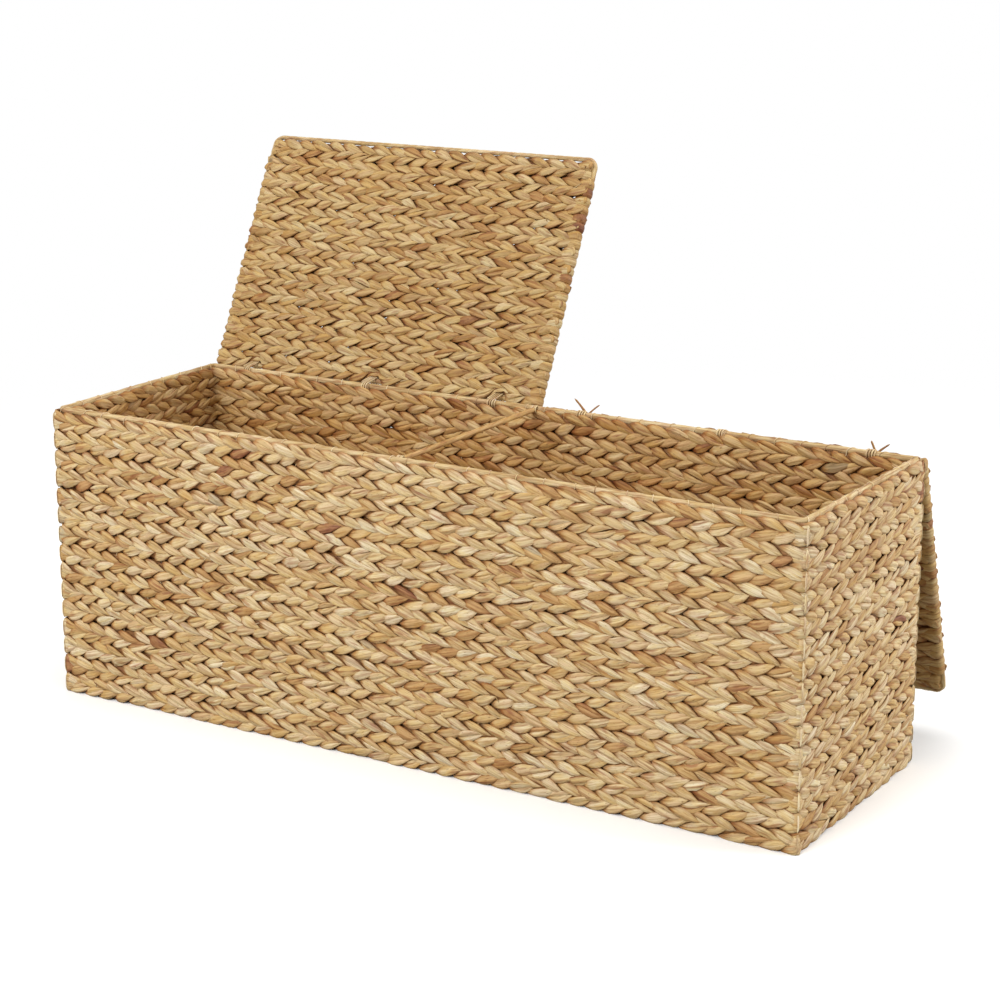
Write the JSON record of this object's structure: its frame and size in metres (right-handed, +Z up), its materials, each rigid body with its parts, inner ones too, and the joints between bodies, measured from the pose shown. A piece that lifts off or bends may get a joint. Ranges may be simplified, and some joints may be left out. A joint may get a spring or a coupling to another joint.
{
  "type": "woven storage trunk",
  "caption": "Long woven water hyacinth storage trunk on a hidden steel frame, with two lids side by side that hinge on cord ties and fold right over behind it.",
  "frame": {"origin": "centre of the trunk's underside, on the floor", "axes": "+X along the trunk from left to right as seen from its front, +Y from front to back, +Z up"},
  "size_m": [1.1, 0.519, 0.7141],
  "materials": {
    "wall_weave": "matte",
    "lid_weave": "matte",
    "base_weave": "matte",
    "rim_cord": "matte",
    "tie_cord": "matte",
    "frame_steel": "satin"
  },
  "bodies": {
    "box": {"front_wall": "wall_weave", "back_wall": "wall_weave", "left_end_wall": "wall_weave", "right_end_wall": "wall_weave", "base_mat": "base_weave", "front_rim_rod": "rim_cord", "back_rim_rod": "rim_cord", "left_end_rim_rod": "rim_cord", "right_end_rim_rod": "rim_cord", "centre_crossbar": "rim_cord", "front_bottom_rod": "frame_steel", "back_bottom_rod": "frame_steel", "left_end_bottom_rod": "frame_steel", "right_end_bottom_rod": "frame_steel", "front_left_post": "frame_steel", "front_right_post": "frame_steel", "back_left_post": "frame_steel", "back_right_post": "frame_steel", "front_upright_1": "frame_steel", "front_upright_2": "frame_steel", "front_upright_3": "frame_steel", "front_upright_4": "frame_steel", "back_upright_1": "frame_steel", "back_upright_2": "frame_steel", "back_upright_3": "frame_steel", "back_upright_4": "frame_steel", "left_end_upright": "frame_steel", "right_end_upright": "frame_steel", "base_rod_1": "frame_steel", "base_rod_2": "frame_steel", "base_rod_3": "frame_steel"},
    "left_ties": {"left_hinge_tie_1": "tie_cord", "left_hinge_tie_2": "tie_cord", "left_hinge_tie_3": "tie_cord"},
    "left_lid": {"left_lid_mat": "lid_weave", "left_lid_rear_rod": "rim_cord", "left_lid_front_rod": "rim_cord", "left_lid_left_rod": "frame_steel", "left_lid_right_rod": "frame_steel", "left_lid_bar_1": "frame_steel", "left_lid_bar_2": "frame_steel"},
    "right_ties": {"right_hinge_tie_1": "tie_cord", "right_hinge_tie_2": "tie_cord", "right_hinge_tie_3": "tie_cord"},
    "right_lid": {"right_lid_mat": "lid_weave", "right_lid_rear_rod": "rim_cord", "right_lid_front_rod": "rim_cord", "right_lid_left_rod": "frame_steel", "right_lid_right_rod": "frame_steel", "right_lid_bar_1": "frame_steel", "right_lid_bar_2": "frame_steel"}
  },
  "joints": [
    {"name": "left_tie_swing", "type": "hinge", "parent": "box", "child": "left_ties", "pos_m": [-0.275, 0.166, 0.39625], "axis": [-1, 0, 0], "range_deg": [-32.6, 38.22]},
    {"name": "left_lid_turn", "type": "hinge", "parent": "left_ties", "child": "left_lid", "pos_m": [-0.275, 0.18627, 0.3999], "axis": [-1, 0, 0], "range_deg": [-83.4, 97.78]},
    {"name": "right_tie_swing", "type": "hinge", "parent": "box", "child": "right_ties", "pos_m": [0.275, 0.166, 0.39625], "axis": [-1, 0, 0], "range_deg": [-70.81, 0]},
    {"name": "right_lid_turn", "type": "hinge", "parent": "right_ties", "child": "right_lid", "pos_m": [0.275, 0.18419, 0.38658], "axis": [-1, 0, 0], "range_deg": [-181.19, 0]}
  ],
  "couplings": [
    {"joint": "left_tie_swing", "follows": "left_lid_turn", "ratio": 0.39083},
    {"joint": "right_tie_swing", "follows": "right_lid_turn", "ratio": 0.39083}
  ]
}
